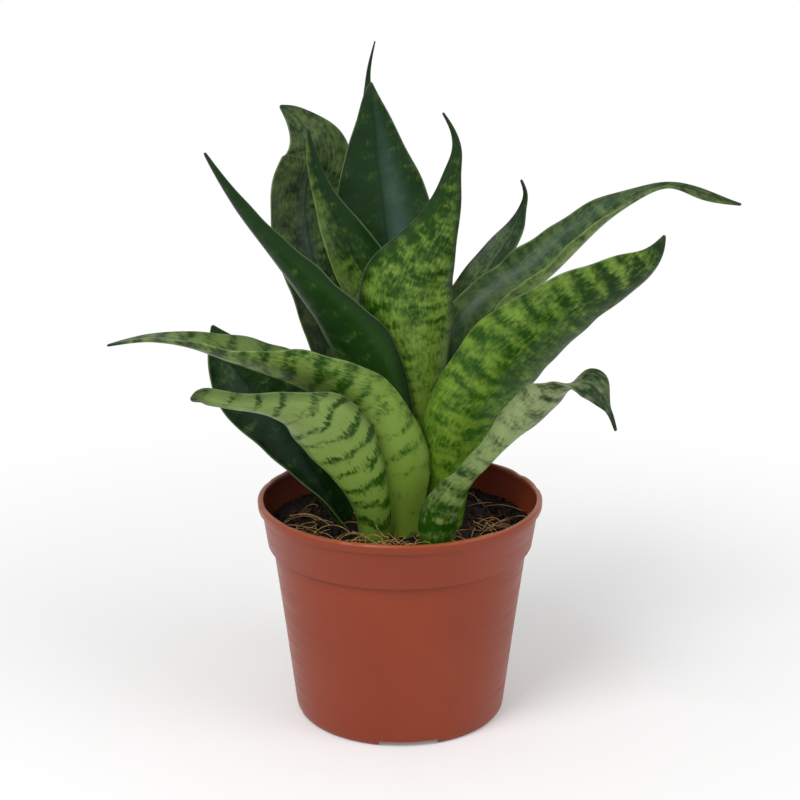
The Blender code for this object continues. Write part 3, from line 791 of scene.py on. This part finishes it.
def leaf_attributes(mesh, name, width, at, s, seed):
    pales, bands, fresh, half_tone_and_shade, grey_and_reflection, crisp, dark_border_and_shade, (painted_sheen, sheen_middle, sheen_width) = LOOKS[name]
    length = at[-1]
    share = (at / length)[:, None]
    across = s[None, :]
    shape = (len(at), len(s))
    place = np.zeros(shape + (3,))
    place[..., 0] = across * width[:, None]
    place[..., 1] = at[:, None]
    place[..., 2] = seed * 7.0
    edge = np.zeros(shape + (3,))
    edge[..., 0] = (1 - np.abs(across)) * width[:, None]
    edge[..., 1] = width[:, None]
    edge[..., 2] = (length - at)[:, None]
    look = np.zeros(shape + (4,))
    # One half of the leaf is made paler than the other: partly the leaf's own markings, partly painted
    # shade on the half turned away from the lamps.
    look[..., 0] = np.interp(share, [0.0, 0.5, 1.0], pales) + half_tone_and_shade * across
    look[..., 1] = bands
    look[..., 2] = fresh * np.clip(1.2 - 1.3 * share, 0, 1)
    tone = np.zeros(shape + (4,))
    # The painted sheen lies in a strip at a given place across the leaf and fades out towards the base and
    # the tip.
    strip = np.exp(-((across - sheen_middle) / sheen_width) ** 2)
    tone[..., 0] = painted_sheen * strip * np.clip(4 * share, 0, 1) * np.clip(3 - 3 * share, 0, 1)
    # The grey, partly painted reflection, grows towards the tip.
    tone[..., 1] = grey_and_reflection * np.clip(0.25 + 1.1 * share, 0, 1)
    tone[..., 2] = crisp
    tone[..., 3] = dark_border_and_shade
    for label, kind, field, values in (
        ("leaf_place", "FLOAT_VECTOR", "vector", place),
        ("leaf_edge", "FLOAT_VECTOR", "vector", edge),
        ("leaf_look", "FLOAT_COLOR", "color", look),
        ("leaf_tone", "FLOAT_COLOR", "color", tone),
    ):
        mesh.attributes.new(label, kind, "POINT").data.foreach_set(field, values.ravel())


def make_leaf(name, seed):
    heading, stations = LEAVES[name]
    points, width, at, s = leaf_points(heading, stations, seed)
    bpy.ops.object.select_all(action="DESELECT")
    bpy.ops.mesh.primitive_grid_add(x_subdivisions=ACROSS, y_subdivisions=ALONG, size=2)
    leaf = name_piece(bpy.context.object, name + "_blade")
    mesh = leaf.data
    mesh.vertices.foreach_set("co", (points * MM).ravel())
    leaf_attributes(mesh, name, width, at, s, seed)
    fleshy = leaf.vertex_groups.new(name="fleshy")
    for row in range(len(at)):
        for column, offset in enumerate(s):
            weight = (1 - abs(offset) ** 2.5) * min(1.0, width[row] / FULL_FLESH_WIDTH)
            fleshy.add([row * len(s) + column], weight, "REPLACE")
    select_only(leaf)
    solidify = leaf.modifiers.new("flesh", "SOLIDIFY")
    solidify.thickness = THICKNESS * MM
    solidify.offset = 0
    solidify.vertex_group = fleshy.name
    solidify.thickness_vertex_group = THIN_EDGE
    bpy.ops.object.modifier_apply(modifier=solidify.name)
    half = len(points.reshape(-1, 3))
    # The points that Solidify added are flagged as the upper side, which the skin paints darker as painted
    # shade and gives the midrib line.
    colours = leaf.data.attributes["leaf_look"].data
    for number in range(half, len(colours)):
        colours[number].color[3] = 1.0
    round_off = leaf.modifiers.new("round", "SUBSURF")
    round_off.levels = round_off.render_levels = 1
    bpy.ops.object.modifier_apply(modifier=round_off.name)
    bpy.ops.object.mode_set(mode="EDIT")
    bpy.ops.mesh.select_all(action="SELECT")
    bpy.ops.mesh.normals_make_consistent(inside=False)
    bpy.ops.mesh.bisect(
        plane_co=(0, 0, TRIM_HEIGHT * MM), plane_no=(0, 0, 1), use_fill=True, clear_inner=True
    )
    bpy.ops.object.mode_set(mode="OBJECT")
    bpy.ops.object.shade_smooth()
    leaf.data.materials.append(leaf_skin)
    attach(leaf, "root")
    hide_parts("leaf_" + name)
    return leaf


for number, leaf_name in enumerate(LEAVES):
    blade = make_leaf(leaf_name, number + 1)
    print(blade.name, len(blade.data.polygons), "faces")

# %% [markdown]
# ## Floor, light and camera
# The floor and the background are plain and white. The world shows white to the camera and in
# reflections, and lights the object at a plain level. A wide lamp at the upper left and front
# models the leaves, and a weaker one fills in from the right.

# %% Lay the floor and set the world
SHADOW_GLOW = 0.15
SHADOW_KEPT_TO = 0.08
WHITE_FROM = 0.45

bpy.ops.object.select_all(action="DESELECT")
bpy.ops.mesh.primitive_plane_add(size=8, location=(0, 0, 0))
floor = name_piece(bpy.context.object, "studio_floor")
floor_paint, floor_tree, floor_shader = new_material("white_studio_paper")
floor_shader.inputs["Base Color"].default_value = linear("#F4F4F4")
floor_shader.inputs["Roughness"].default_value = 0.9
# Near the pot the paper is lit by the lamps and keeps the shadow. Further out it fades to white.
spot = add_node(floor_tree, "TexCoord").outputs["Object"]
distance = add_node(floor_tree, "VectorMath", {0: spot}, operation="LENGTH").outputs["Value"]
fade = add_node(
    floor_tree, "MapRange", {0: distance, 1: SHADOW_KEPT_TO, 2: WHITE_FROM, 3: SHADOW_GLOW, 4: 1.0},
    interpolation_type="SMOOTHSTEP",
).outputs[0]
ray = add_node(floor_tree, "LightPath").outputs["Is Camera Ray"]
share = add_node(floor_tree, "Math", {0: ray, 1: fade}, operation="MULTIPLY").outputs[0]
glow = add_node(floor_tree, "Emission", {"Color": (1, 1, 1, 1), "Strength": 1.0}).outputs[0]
blend = add_node(floor_tree, "MixShader", {0: share, 1: floor_shader.outputs[0], 2: glow}).outputs[0]
floor_tree.links.new(blend, floor_tree.nodes["Material Output"].inputs["Surface"])
floor.data.materials.append(floor_paint)

WORLD_LIGHT = 0.55
world = bpy.data.worlds.new("studio")
scene.world = world
world.use_nodes = True
world_tree = world.node_tree
background = world_tree.nodes["Background"]
path = add_node(world_tree, "LightPath")
seen = add_node(
    world_tree, "Math", {0: path.outputs["Is Camera Ray"], 1: path.outputs["Is Glossy Ray"]},
    operation="MAXIMUM",
).outputs[0]
seen = add_node(
    world_tree, "Math", {0: seen, 1: path.outputs["Is Transmission Ray"]}, operation="MAXIMUM"
).outputs[0]
strength = add_node(world_tree, "MapRange", {0: seen, 3: WORLD_LIGHT, 4: 1.0}).outputs[0]
world_tree.links.new(strength, background.inputs["Strength"])
background.inputs["Color"].default_value = (1, 1, 1, 1)

# %% Hang the lamps
TARGET = Vector((0, 0, 0.15))


def hang_lamp(name, place, size, watts):
    lamp = bpy.data.lights.new(name, "AREA")
    lamp.shape = "DISK"
    lamp.size = size
    lamp.energy = watts
    holder = bpy.data.objects.new(name, lamp)
    holder.location = place
    holder.rotation_euler = (TARGET - Vector(place)).to_track_quat("-Z", "Y").to_euler()
    scene.collection.objects.link(holder)


hang_lamp("key_lamp", (-0.55, -0.75, 1.05), 0.7, 11.0)
hang_lamp("fill_lamp", (0.9, -0.5, 0.7), 0.8, 4.0)

# %% Place the camera
CAMERA_PLACE = (0.0, -0.752, 0.364)
CAMERA_TILT = 16.8
camera_data = bpy.data.cameras.new("camera")
camera_data.lens = 85
camera_data.sensor_width = 36
camera = bpy.data.objects.new("camera", camera_data)
camera.location = CAMERA_PLACE
camera.rotation_euler = (math.radians(90 - CAMERA_TILT), 0, 0)
scene.collection.objects.link(camera)
scene.camera = camera
scene.view_settings.view_transform = "Standard"
